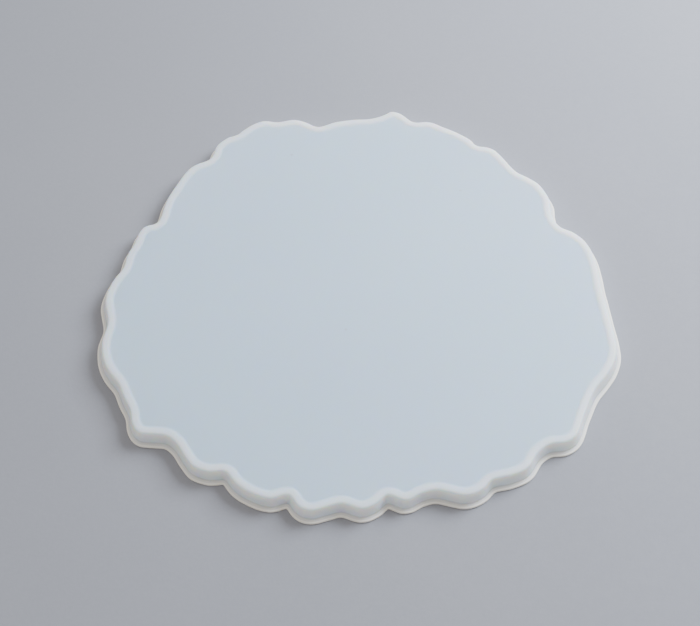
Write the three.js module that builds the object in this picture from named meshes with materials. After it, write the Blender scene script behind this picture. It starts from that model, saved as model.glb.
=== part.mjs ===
// A tray mould for casting resin in the shape of a slice of agate, lying face down.
// It is one piece of soft translucent silicone: a thin flat floor on top, a wall that
// follows a wavy outline all the way round, and a flat lip round the wall's rim.
// The wall stands slightly proud of the floor's outer face, as a low foot ring.
// The cavity is underneath, open towards the table that the rim rests on.
// Millimetres, +Z up. The origin is at the middle of the footprint, on the table.

import * as THREE from 'three';

// Heights, from the table up
const HEIGHT = 10;          // top of the foot ring
const FOOT_STEP = 0.5;      // how far the floor's outer face lies below the foot ring
const FLOOR = 1.5;          // thickness of the floor, over the cavity
const LIP_HEIGHT = 1.8;     // thickness of the lip
const FLOOR_TOP = HEIGHT - FOOT_STEP;
const CAVITY_TOP = FLOOR_TOP - FLOOR;

// Widths, measured square to the outline
const WALL = 4.2;           // thickness of the wall where it meets the floor
const OUTER_DRAFT = 1.6;    // how far the wall's outside leans out towards its rim
const INNER_DRAFT = 0.6;    // how much wider the cavity's mouth is than its floor, each side
const LIP_WIDTH = 2.2;      // how far the lip stands out from the wall
const STEP_SLOPE = 0.8;     // width of the slope from the foot ring down to the floor

// Radii of the rounded edges
const EDGE_ROUND = 1.2;     // between the wall's outside and the foot ring
const LIP_ROUND = 0.6;
const FLOOR_FILLET = 0.8;   // inside the cavity, where the wall meets the floor

// Fineness
const OUTLINE_STEPS = 288;  // sections round the mould
const ARC_STEPS = 3;        // facets in each rounded edge
const TRACE_STEPS = 7200;   // places tried along the outline when a ring is offset from it

// The outline of the wall's outer face at the foot ring, anticlockwise from the right.
// Each row is a lobe or a run of small ones, and ends at or near a notch.
const OUTLINE = [
  [142, 3], [141, 17], [139, 29], [135, 38], [129, 44], [122, 48], [118, 55],
  [117, 62], [117, 69], [114, 77], [111, 82], [105, 87], [99, 91],
  [95, 96], [90, 104], [85, 110], [80, 112], [75, 113],
  [71, 118], [63, 124], [54, 129], [46, 133], [36, 133],
  [32, 136], [28, 140], [22, 142], [17, 139], [9, 136], [-3, 135], [-14, 133], [-25, 129],
  [-33, 133], [-40, 135], [-51, 133],
  [-59, 134], [-66, 131], [-72, 126], [-76, 122],
  [-81, 120], [-88, 113], [-90, 105], [-93, 101],
  [-99, 98], [-104, 94], [-111, 81], [-116, 69], [-119, 55], [-121, 51],
  [-128, 48], [-131, 43], [-133, 35], [-136, 28], [-138, 17],
  [-142, 10], [-145, 2], [-146, -6], [-143, -22],
  [-145, -35], [-143, -47], [-139, -55], [-133, -63], [-129, -72], [-125, -80],
  [-123, -89], [-119, -94], [-112, -95], [-104, -96], [-98, -101],
  [-93, -109], [-88, -115], [-80, -118], [-71, -118],
  [-66, -124], [-60, -129], [-47, -134], [-37, -132],
  [-31, -139], [-25, -141], [-17, -139], [-9, -137],
  [2, -140], [9, -137], [15, -132],
  [25, -135], [33, -131], [41, -129],
  [57, -132], [65, -129], [71, -123],
  [82, -120], [90, -116], [97, -106], [104, -101],
  [112, -100], [118, -96], [124, -82], [131, -67],
  [138, -58], [143, -50], [146, -40], [144, -15],
];

// A quarter turn of a rounded edge in the profile, from one bearing to another, in degrees
function arc(offset, z, radius, from, to) {
  const points = [];
  for (let i = 0; i <= ARC_STEPS; i += 1) {
    const angle = THREE.MathUtils.degToRad(from + ((to - from) * i) / ARC_STEPS);
    points.push([offset + radius * Math.cos(angle), z + radius * Math.sin(angle)]);
  }
  return points;
}

// The wall's section, from the cavity's floor down the inside, across the rim and the
// lip, up the outside and over the foot ring. Each point is how far it stands out from
// the outline, and its height.
function wallProfile() {
  const lipEdge = OUTER_DRAFT + LIP_WIDTH;
  return [
    ...arc(-WALL - FLOOR_FILLET, CAVITY_TOP - FLOOR_FILLET, FLOOR_FILLET, 90, 0),
    [INNER_DRAFT - WALL, 0],
    [lipEdge - LIP_ROUND, 0],
    ...arc(lipEdge - LIP_ROUND, LIP_HEIGHT - LIP_ROUND, LIP_ROUND, 0, 90),
    [OUTER_DRAFT, LIP_HEIGHT],
    ...arc(-EDGE_ROUND, HEIGHT - EDGE_ROUND, EDGE_ROUND, 0, 90),
    [-WALL + STEP_SLOPE / 2, HEIGHT],
    [-WALL - STEP_SLOPE / 2, FLOOR_TOP],
  ];
}

// The outline as a smooth closed curve, at equal steps along its length
function traceOutline(steps) {
  const corners = OUTLINE.map(([x, y]) => new THREE.Vector3(x, y, 0));
  const curve = new THREE.CatmullRomCurve3(corners, true, 'centripetal');
  curve.arcLengthDivisions = 4 * TRACE_STEPS;
  return curve.getSpacedPoints(steps).slice(0, steps);
}

// How far out along a ray the ring lies that keeps a fixed distance from the outline:
// it is the furthest, or for a ring inside the nearest, that a disc of that radius
// reaches along the ray as the disc rolls round the outline.
function reach(ray, outline, offset) {
  const side = Math.sign(offset);
  const radius = Math.max(Math.abs(offset), 0.2);
  let best = -Infinity;
  for (const point of outline) {
    const across = point.x * ray.y - point.y * ray.x;
    const along = point.x * ray.x + point.y * ray.y;
    if (along > 0 && Math.abs(across) < radius) {
      best = Math.max(best, side * along + Math.sqrt(radius * radius - across * across));
    }
  }
  return side * best + (offset - side * radius);
}

// One closed skin: a ring for each point of the profile, and a middle point
// on each face of the floor.
function mouldGeometry() {
  const outline = traceOutline(TRACE_STEPS);
  const rays = traceOutline(OUTLINE_STEPS).map((point) => point.clone().normalize());
  const profile = wallProfile();
  const positions = [0, 0, CAVITY_TOP];
  for (const [offset, z] of profile) {
    for (const ray of rays) {
      const distance = reach(ray, outline, offset || 1e-6);
      positions.push(ray.x * distance, ray.y * distance, z);
    }
  }
  positions.push(0, 0, FLOOR_TOP);

  const count = rays.length;
  const vertex = (ring, step) => 1 + ring * count + (step % count);
  const last = profile.length - 1;
  const topMiddle = 1 + profile.length * count;
  const faces = [];
  for (let step = 0; step < count; step += 1) {
    faces.push(0, vertex(0, step + 1), vertex(0, step));
    faces.push(topMiddle, vertex(last, step), vertex(last, step + 1));
    for (let ring = 0; ring < last; ring += 1) {
      const [a, b] = [vertex(ring, step), vertex(ring, step + 1)];
      const [c, d] = [vertex(ring + 1, step + 1), vertex(ring + 1, step)];
      faces.push(a, b, c, a, c, d);
    }
  }
  const geometry = new THREE.BufferGeometry();
  geometry.setAttribute('position', new THREE.Float32BufferAttribute(positions, 3));
  geometry.setIndex(faces);
  geometry.computeBoundingBox();
  const middle = geometry.boundingBox.getCenter(new THREE.Vector3());
  geometry.translate(-middle.x, -middle.y, 0);
  return geometry;
}

const silicone = new THREE.MeshStandardMaterial({
  color: 0xd3d8de,
  roughness: 0.42,
  metalness: 0,
});

const mould = new THREE.Group();
const body = new THREE.Mesh(mouldGeometry(), silicone);
body.name = 'mould_body';
mould.add(body);

export default mould;
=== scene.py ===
"""Looks of a tray mould for casting resin: one piece of translucent silicone with the
outline of a slice of agate, lying face down on a sheet of grey paper. Everything is in
metres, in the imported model's frame."""

import math

import bpy
import numpy as np
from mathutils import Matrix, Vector


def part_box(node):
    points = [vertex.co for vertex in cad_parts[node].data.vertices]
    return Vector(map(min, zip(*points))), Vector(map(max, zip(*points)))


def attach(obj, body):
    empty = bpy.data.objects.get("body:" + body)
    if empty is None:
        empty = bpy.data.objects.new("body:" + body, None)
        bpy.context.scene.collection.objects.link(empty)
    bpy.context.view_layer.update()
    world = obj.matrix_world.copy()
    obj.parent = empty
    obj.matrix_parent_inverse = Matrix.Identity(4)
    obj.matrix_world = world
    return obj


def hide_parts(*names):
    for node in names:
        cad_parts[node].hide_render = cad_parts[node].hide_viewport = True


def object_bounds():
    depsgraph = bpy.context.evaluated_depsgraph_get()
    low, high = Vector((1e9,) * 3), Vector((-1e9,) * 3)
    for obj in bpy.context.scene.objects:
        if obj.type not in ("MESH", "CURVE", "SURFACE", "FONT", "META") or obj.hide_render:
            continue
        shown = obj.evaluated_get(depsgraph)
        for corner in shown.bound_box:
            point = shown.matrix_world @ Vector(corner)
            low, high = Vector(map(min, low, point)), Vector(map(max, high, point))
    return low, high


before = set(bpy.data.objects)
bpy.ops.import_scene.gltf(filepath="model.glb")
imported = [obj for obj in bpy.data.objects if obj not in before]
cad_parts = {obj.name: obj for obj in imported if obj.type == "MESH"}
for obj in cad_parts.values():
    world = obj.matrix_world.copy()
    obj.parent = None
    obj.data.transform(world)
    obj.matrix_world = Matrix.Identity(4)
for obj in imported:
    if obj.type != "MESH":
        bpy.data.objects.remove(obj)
CAD_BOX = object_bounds()

MM = 0.001
NODE = "mould_body"

# The section of the wall, measured square to the outline
WALL = 4.2 * MM             # thickness where it meets the floor
OUTER_DRAFT = 1.6 * MM      # how far the wall's outside leans out towards its rim
INNER_DRAFT = 0.6 * MM      # how much wider the cavity's mouth is than its floor, each side
LIP_HEIGHT = 1.8 * MM
STEP_SLOPE = 2.5 * MM       # width of the slope from the foot ring down to the floor
EDGE_ROUND = 1.2 * MM       # between the wall's outside and the foot ring
LIP_ROUND = 0.5 * MM        # the lip's upper edge
LIP_UNDERCUT = 0.4 * MM     # the lip's lower edge
LIP_FILLET = 0.5 * MM       # between the lip and the wall
LIP_FALL = 0.35 * MM        # how much lower the lip's top is at its edge than at the wall
MOUTH_ROUND = 0.4 * MM      # the cavity's mouth
FLOOR_FILLET = 0.8 * MM     # inside the cavity, between the wall and the floor

# Fineness of the mesh
OUTLINE_STEPS = 1080        # sections round the mould
TRACE_STEPS = 8640          # places tried along the outline when a ring is offset from it
ARC_STEPS = 5               # facets in each rounded edge
SLOPE_STEPS = 8             # facets down the slope inside the foot ring
FLAT_RINGS = 14             # rings across each face of the floor
SHORTEST_REACH = 0.2 * MM   # a closer ring is found at this distance, then moved back
SAME_HEIGHT = 0.01 * MM     # vertices this close in height are on one ring
MIDDLE = 5 * MM             # vertices this close to the axis are in the middle of the floor

# Unevenness of the casting
FLOOR_WAVE = 0.06 * MM      # of the floor's outer face
FOOT_WAVE = 0.08 * MM       # along the top of the foot ring
LIP_WAVE = 0.12 * MM        # in the lip's trimmed edge

# The camera looks down at the mould from the front
CAMERA_ELEVATION = math.radians(55)
CAMERA_DISTANCE = 0.816
CAMERA_TARGET = Vector((-0.0046, -0.0089, 0))
CAMERA_LENS = 72            # millimetres, as is the sensor
CAMERA_SENSOR = 36
CAMERA_NEAR = 0.01          # nothing nearer than this is drawn

# The window is a square soft light. Bearings and its elevation are in degrees, and a
# bearing is from +X towards +Y.
WINDOW_BEARING = 34
WINDOW_ELEVATION = 40
WINDOW_DISTANCE = 0.85
WINDOW_SIZE = 0.48
WINDOW_POWER = 16.9
WINDOW_COLOUR = (0.86, 0.92, 1.0)

# The room's mean brightness, and how much brighter than that it is towards one side
ROOM_COLOUR = (1.0, 0.955, 0.90, 1)
ROOM_LEVEL = 0.81
ROOM_LEAN = 0.24
ROOM_BEARING = 120

TABLE_HALF = 12.0           # half of the table's width, so that its edge is far away
TABLE_GAP = 0.02 * MM       # under the rim, so that no two faces share a plane


# ---------- shape ----------

def cad_points(node):
    return np.array([v.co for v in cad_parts[node].data.vertices], float)


def ring_at(node, height):
    """The one ring of vertices that a node has at this height, anticlockwise."""
    points = cad_points(node)
    points = points[np.abs(points[:, 2] - height) < SAME_HEIGHT]
    points = np.unique(points[:, :2].round(6), axis=0)
    return points[np.argsort(np.arctan2(points[:, 1], points[:, 0]))]


def floor_faces(node):
    """The heights of the floor's two faces, in the middle of the mould."""
    points = cad_points(node)
    middle = points[np.hypot(points[:, 0], points[:, 1]) < MIDDLE]
    return middle[:, 2].min(), middle[:, 2].max()


def smooth_loop(points, steps):
    """A closed Catmull-Rom curve through the points, at equal steps along its length."""
    dense = 16
    t = np.linspace(0, 1, dense, endpoint=False)[:, None]
    pieces = []
    for a, b, c, d in zip(*(np.roll(points, shift, axis=0) for shift in (1, 0, -1, -2))):
        pieces.append(0.5 * (2 * b + (c - a) * t + (2 * a - 5 * b + 4 * c - d) * t ** 2
                             + (3 * b - a - 3 * c + d) * t ** 3))
    curve = np.vstack(pieces + [pieces[0][:1]])
    length = np.r_[0, np.cumsum(np.hypot(*np.diff(curve, axis=0).T))]
    places = np.linspace(0, length[-1], steps, endpoint=False)
    return np.c_[np.interp(places, length, curve[:, 0]), np.interp(places, length, curve[:, 1])]


def reach(rays, outline, offset):
    """Along each ray, how far out the ring lies that keeps this distance from the outline."""
    if abs(offset) < SHORTEST_REACH:
        wide = math.copysign(SHORTEST_REACH, offset or 1)
        return reach(rays, outline, wide) + offset - wide
    side, radius = math.copysign(1, offset), abs(offset)
    distances = np.empty(len(rays))
    for i, ray in enumerate(rays):
        across = outline[:, 0] * ray[1] - outline[:, 1] * ray[0]
        along = outline @ ray
        hit = (along > 0) & (np.abs(across) < radius)
        distances[i] = side * (side * along[hit]
                               + np.sqrt(radius ** 2 - across[hit] ** 2)).max()
    return distances


def arc(offset, z, radius, start, end):
    """Points round part of a circle in the section, between two bearings in degrees."""
    angles = np.radians(np.linspace(start, end, ARC_STEPS + 1))
    return [(offset + radius * math.cos(a), z + radius * math.sin(a)) for a in angles]


def slope(start, end, high, low):
    """Points down a soft step in the section."""
    shares = np.linspace(0, 1, SLOPE_STEPS + 1)
    falls = shares ** 2 * (3 - 2 * shares)
    return [(start + (end - start) * s, high + (low - high) * f)
            for s, f in zip(shares, falls)]


def waves(bearing, counts, seed):
    """A smooth random wave round the mould, between about -1 and 1."""
    phases = np.random.default_rng(seed).uniform(0, 2 * math.pi, len(counts))
    return sum(np.sin(n * bearing + p) for n, p in zip(counts, phases)) / len(counts)


def wall_section(height, floor, lip_out):
    """The wall's section, from the cavity's floor down the inside, across the rim and
    the lip, up the outside and over the foot ring. Each point is how far it stands out
    from the outline, and its height."""
    cavity_top, floor_top = floor
    foot = OUTER_DRAFT + LIP_FILLET
    lean = math.degrees(math.atan2(OUTER_DRAFT, height - EDGE_ROUND - LIP_HEIGHT))
    mouth = INNER_DRAFT - WALL + MOUTH_ROUND
    return (
        arc(-WALL - FLOOR_FILLET, cavity_top - FLOOR_FILLET, FLOOR_FILLET, 90, 0)
        + arc(mouth, MOUTH_ROUND, MOUTH_ROUND, 180, 270)
        + arc(lip_out - LIP_UNDERCUT, LIP_UNDERCUT, LIP_UNDERCUT, -90, 0)
        + arc(lip_out - LIP_ROUND, LIP_HEIGHT - LIP_FALL - LIP_ROUND, LIP_ROUND, 0, 90)
        + arc(foot, LIP_HEIGHT + LIP_FILLET, LIP_FILLET, 270, 180 + lean)
        + arc(-EDGE_ROUND, height - EDGE_ROUND, EDGE_ROUND, 0, 90)
        + slope(-WALL + STEP_SLOPE / 2, -WALL - STEP_SLOPE / 2, height, floor_top)
    )


def floor_wave(points):
    """A slow unevenness across the floor, between about -1 and 1."""
    x, y = points[:, 0] / 0.1, points[:, 1] / 0.1
    return (np.sin(2.1 * x + 1.3 * y + 0.4) + np.sin(3.7 * y - 1.9 * x + 1.1)) / 2


def flat_rings(edge, height, wave):
    """Rings from the middle out to an edge, leaving out the edge itself."""
    rings = []
    for share in np.linspace(0, 1, FLAT_RINGS + 1)[1:-1]:
        across = edge[:, :2] * share
        rings.append(np.c_[across, height + wave * floor_wave(across) * (1 - share ** 4)])
    return rings


def mould_mesh():
    """The mould as one closed skin."""
    low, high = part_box(NODE)
    cad_outline = ring_at(NODE, high.z - EDGE_ROUND)
    floor = floor_faces(NODE)
    lip_out = (high.x - low.x - np.ptp(cad_outline[:, 0])) / 2
    outline = smooth_loop(cad_outline, TRACE_STEPS)
    rays = smooth_loop(cad_outline, OUTLINE_STEPS)
    rays /= np.linalg.norm(rays, axis=1)[:, None]
    bearing = np.arctan2(rays[:, 1], rays[:, 0])
    foot_wave = FOOT_WAVE * (waves(bearing, (3, 5, 8, 13), seed=4) - 1) / 2
    lip_wave = LIP_WAVE * (waves(bearing, (17, 29, 43, 71), seed=6) - 1)

    wall = []
    for offset, z in wall_section(high.z, floor, lip_out):
        distance = reach(rays, outline, offset)
        if offset > OUTER_DRAFT + LIP_FILLET:
            distance = distance + lip_wave
        ring = rays * distance[:, None]
        lift = foot_wave * np.clip((z - LIP_HEIGHT) / high.z, 0, 1) if z > floor[1] else 0
        wall.append(np.c_[ring, np.full(len(ring), z) + lift])
    rings = (flat_rings(wall[0], floor[0], 0) + wall
             + flat_rings(wall[-1], floor[1], FLOOR_WAVE)[::-1])
    vertices = np.vstack([[[0, 0, floor[0]]]] + rings + [[[0, 0, floor[1]]]])
    return vertices, skin_faces(len(rings), OUTLINE_STEPS)


def skin_faces(rings, steps):
    """Quads between neighbouring rings, and a fan of triangles at each end."""
    step = np.arange(steps)
    after = (step + 1) % steps
    end = 1 + rings * steps
    faces = [(0, 1 + b, 1 + a) for a, b in zip(step, after)]
    for ring in range(rings - 1):
        near, far = 1 + ring * steps, 1 + (ring + 1) * steps
        faces += [(near + a, near + b, far + b, far + a) for a, b in zip(step, after)]
    start = 1 + (rings - 1) * steps
    faces += [(end, start + a, start + b) for a, b in zip(step, after)]
    return faces


def make_mould():
    vertices, faces = mould_mesh()
    mesh = bpy.data.meshes.new("silicone_mould")
    mesh.from_pydata(vertices.tolist(), [], faces)
    mesh.shade_smooth()
    mould = bpy.data.objects.new("silicone_mould", mesh)
    bpy.context.scene.collection.objects.link(mould)
    return mould


# ---------- materials ----------

class Material:
    """A material, its shader, and helpers that add linked nodes."""

    def __init__(self, name):
        self.material = bpy.data.materials.new(name)
        self.material.use_nodes = True
        self.tree = self.material.node_tree
        self.shader = self.tree.nodes["Principled BSDF"]
        self.place = self.add("ShaderNodeTexCoord").outputs["Object"]

    def add(self, kind, inputs=None, **settings):
        node = self.tree.nodes.new(kind)
        for key, value in settings.items():
            setattr(node, key, value)
        for key, value in (inputs or {}).items():
            if isinstance(value, bpy.types.NodeSocket):
                self.tree.links.new(value, node.inputs[key])
            else:
                node.inputs[key].default_value = value
        return node

    def noise(self, scale, detail=2.0, roughness=0.5):
        """Noise of about 0 to 1, with this many waves to the metre."""
        return self.add("ShaderNodeTexNoise", {
            "Vector": self.place, "Scale": scale, "Detail": detail,
            "Roughness": roughness}).outputs["Fac"]

    def spread(self, value, from_low, from_high, to_low, to_high):
        """A value carried smoothly from one range to another, and held at its ends."""
        return self.add("ShaderNodeMapRange", {
            "Value": value, "From Min": from_low, "From Max": from_high,
            "To Min": to_low, "To Max": to_high},
            interpolation_type="SMOOTHSTEP").outputs["Result"]

    def mix(self, share, a, b):
        """Colour a, giving way to colour b as the share goes from 0 to 1."""
        return self.add("ShaderNodeMix", {0: share, 6: a, 7: b},
                        data_type="RGBA").outputs[2]

    def maths(self, operation, a, b):
        return self.add("ShaderNodeMath", {0: a, 1: b}, operation=operation).outputs[0]

    def spot(self, place, radius):
        """1 at a point, fading to 0 at a radius from it."""
        distance = self.add("ShaderNodeVectorMath", {0: self.place, 1: place},
                            operation="DISTANCE").outputs["Value"]
        return self.spread(distance, 0.3 * radius, radius, 1, 0)

    def link(self, value, name):
        self.tree.links.new(value, self.shader.inputs[name])

    def bump(self, height, distance):
        self.link(self.add("ShaderNodeBump", {
            "Height": height, "Distance": distance, "Strength": 1.0}).outputs["Normal"],
            "Normal")


# Colours of the silicone, from the table up, with painted light: glow on the lip, shade in the
# crease above it, shade in the thin floor, glow on the foot ring
# painted glow: the lip's cream colour stands in for light carried through the silicone and out
# of its edge
LIP_GLOW_COLOUR = (1.0, 0.955, 0.86, 1)
CREASE_SHADE_COLOUR = (0.76, 0.74, 0.71, 1)   # painted shade in the crease between the lip and the wall
WALL_COLOUR = (0.985, 0.98, 0.985, 1)
# the floor: the silicone's bluish white, with painted shade where it is thin over the hollow
FLOOR_SHADED_COLOUR = (0.745, 0.89, 0.99, 1)
FOOT_GLOW_COLOUR = (0.875, 0.918, 1.0, 1)    # the foot ring's top, whiter with painted glow of the thick wall under it

# Heights between which each of these colours gives way to the next
CREASE_SHADE_FADE = (1.44 * MM, 1.66 * MM)
WALL_FADE = (2.2 * MM, 3.6 * MM)
FLOOR_SHADE_FADE = (8.2 * MM, 9.4 * MM)
FOOT_GLOW_FADE = (9.5 * MM, 9.9 * MM)

# A faint mottle over all of it, and the most of that colour that is mixed in anywhere
MOTTLE_COLOUR = (0.80, 0.84, 0.88, 1)
MOTTLE_SHARE = 0.05

# How light scatters in the silicone, which it does least in the lip
SCATTER_FADE = (1.5 * MM, 3.0 * MM)
LIP_SCATTER = 0.15
SCATTER_RADIUS = (1.6, 1.0, 0.5)        # of red, green and blue, times the scale
SCATTER_SCALE = 8 * MM
SILICONE_IOR = 1.41
SILICONE_ROUGHNESS = (0.50, 0.60)
GRAIN_DEPTH = 0.024 * MM

# Tiny marks in the floor: where each one is, and its radius
SPECK_COLOUR = (0.62, 0.64, 0.66, 1)
SPECK_SHARE = 0.5
SPECKS = [((-0.007, -0.027, 0.0095), 1.2 * MM), ((-0.041, 0.105, 0.0095), 1.3 * MM),
          ((0.063, 0.076, 0.0095), 1.0 * MM)]

PAPER_DARK = (0.279, 0.290, 0.330, 1)
PAPER_LIGHT = (0.294, 0.305, 0.347, 1)
PAPER_ROUGHNESS = (0.85, 0.95)
PAPER_DEPTH = 0.05 * MM


def silicone_colour(silicone, height):
    """The colour by height, with painted glow on the lip, painted shade in the crease above it
    and in the thin floor, painted glow on the foot ring, a faint mottle and the marks in the
    floor.
    """
    # painted glow on the lip, giving way to painted shade in the crease above it
    corner = silicone.spread(height, *CREASE_SHADE_FADE, 0, 1)
    colour = silicone.mix(corner, LIP_GLOW_COLOUR, CREASE_SHADE_COLOUR)
    wall = silicone.spread(height, *WALL_FADE, 0, 1)
    colour = silicone.mix(wall, colour, WALL_COLOUR)
    # painted shade in the thin floor, and painted glow on the foot ring round it
    top = silicone.spread(height, *FLOOR_SHADE_FADE, 0, 1)
    foot = silicone.spread(height, *FOOT_GLOW_FADE, 0, 1)
    colour = silicone.mix(top, colour, silicone.mix(foot, FLOOR_SHADED_COLOUR, FOOT_GLOW_COLOUR))
    mottle = silicone.spread(silicone.noise(22, 3), 0.3, 0.7, 0, MOTTLE_SHARE)
    colour = silicone.mix(mottle, colour, MOTTLE_COLOUR)
    for place, radius in SPECKS:
        share = silicone.maths("MULTIPLY", silicone.spot(place, radius), SPECK_SHARE)
        colour = silicone.mix(share, colour, SPECK_COLOUR)
    return colour


def silicone_material():
    silicone = Material("silicone")
    height = silicone.add("ShaderNodeSeparateXYZ", {0: silicone.place}).outputs["Z"]
    silicone.link(silicone_colour(silicone, height), "Base Color")
    silicone.link(silicone.spread(silicone.noise(60, 3), 0.3, 0.7, *SILICONE_ROUGHNESS),
                  "Roughness")
    silicone.bump(silicone.noise(900, 2), GRAIN_DEPTH)
    silicone.link(silicone.spread(height, *SCATTER_FADE, LIP_SCATTER, 1), "Subsurface Weight")
    silicone.shader.inputs["Subsurface Radius"].default_value = SCATTER_RADIUS
    silicone.shader.inputs["Subsurface Scale"].default_value = SCATTER_SCALE
    silicone.shader.inputs["IOR"].default_value = SILICONE_IOR
    return silicone.material


def paper_material():
    paper = Material("paper")
    cloud = paper.spread(paper.noise(7, 3), 0.3, 0.7, 0, 1)
    fleck = paper.spread(paper.noise(420, 2), 0.35, 0.7, 0, 1)
    share = paper.maths("ADD", paper.maths("MULTIPLY", cloud, 0.6),
                        paper.maths("MULTIPLY", fleck, 0.4))
    paper.link(paper.mix(share, PAPER_DARK, PAPER_LIGHT), "Base Color")
    paper.link(paper.spread(paper.noise(150, 2), 0.3, 0.7, *PAPER_ROUGHNESS), "Roughness")
    paper.bump(paper.noise(650, 3, 0.6), PAPER_DEPTH)
    return paper.material


# ---------- stage, light and camera ----------

def make_stage():
    half = TABLE_HALF
    mesh = bpy.data.meshes.new("table")
    corners = [(-half, -half, 0), (half, -half, 0), (half, half, 0), (-half, half, 0)]
    mesh.from_pydata(corners, [], [(0, 1, 2, 3)])
    table = bpy.data.objects.new("table", mesh)
    table.location.z = CAD_BOX[0][2] - TABLE_GAP
    bpy.context.scene.collection.objects.link(table)
    mesh.materials.append(paper_material())


def make_window():
    """A square soft light that faces the mould."""
    light = bpy.data.lights.new("window", "AREA")
    light.size = WINDOW_SIZE
    light.energy = WINDOW_POWER
    light.color = WINDOW_COLOUR
    lamp = bpy.data.objects.new("window", light)
    turn, tilt = math.radians(WINDOW_BEARING), math.radians(WINDOW_ELEVATION)
    away = Vector((math.cos(tilt) * math.cos(turn), math.cos(tilt) * math.sin(turn),
                   math.sin(tilt)))
    lamp.location = away * WINDOW_DISTANCE
    lamp.rotation_euler = away.to_track_quat("Z", "Y").to_euler()
    bpy.context.scene.collection.objects.link(lamp)


def make_room():
    """Light from all round, which is stronger from one side."""
    world = bpy.data.worlds.new("room")
    world.use_nodes = True
    tree = world.node_tree
    background = tree.nodes["Background"]
    background.inputs["Color"].default_value = ROOM_COLOUR
    turn = math.radians(ROOM_BEARING)
    side = tree.nodes.new("ShaderNodeVectorMath")
    side.operation = "DOT_PRODUCT"
    side.inputs[1].default_value = (math.cos(turn), math.sin(turn), 0)
    strength = tree.nodes.new("ShaderNodeMath")
    strength.operation = "MULTIPLY_ADD"
    strength.inputs[1].default_value = ROOM_LEAN
    strength.inputs[2].default_value = ROOM_LEVEL
    direction = tree.nodes.new("ShaderNodeTexCoord").outputs["Generated"]
    tree.links.new(direction, side.inputs[0])
    tree.links.new(side.outputs["Value"], strength.inputs[0])
    tree.links.new(strength.outputs[0], background.inputs["Strength"])
    bpy.context.scene.world = world


def make_camera():
    lens = bpy.data.cameras.new("camera")
    lens.lens = CAMERA_LENS
    lens.sensor_width = CAMERA_SENSOR
    lens.clip_start = CAMERA_NEAR
    camera = bpy.data.objects.new("camera", lens)
    back = Vector((0, -math.cos(CAMERA_ELEVATION), math.sin(CAMERA_ELEVATION)))
    camera.location = CAMERA_TARGET + CAMERA_DISTANCE * back
    camera.rotation_euler = (-back).to_track_quat("-Z", "Y").to_euler()
    bpy.context.scene.collection.objects.link(camera)
    bpy.context.scene.camera = camera


# ---------- the scene ----------

make_camera()
make_window()
make_room()
make_stage()

mould = make_mould()
mould.data.materials.append(silicone_material())
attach(mould, "root")
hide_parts(NODE)
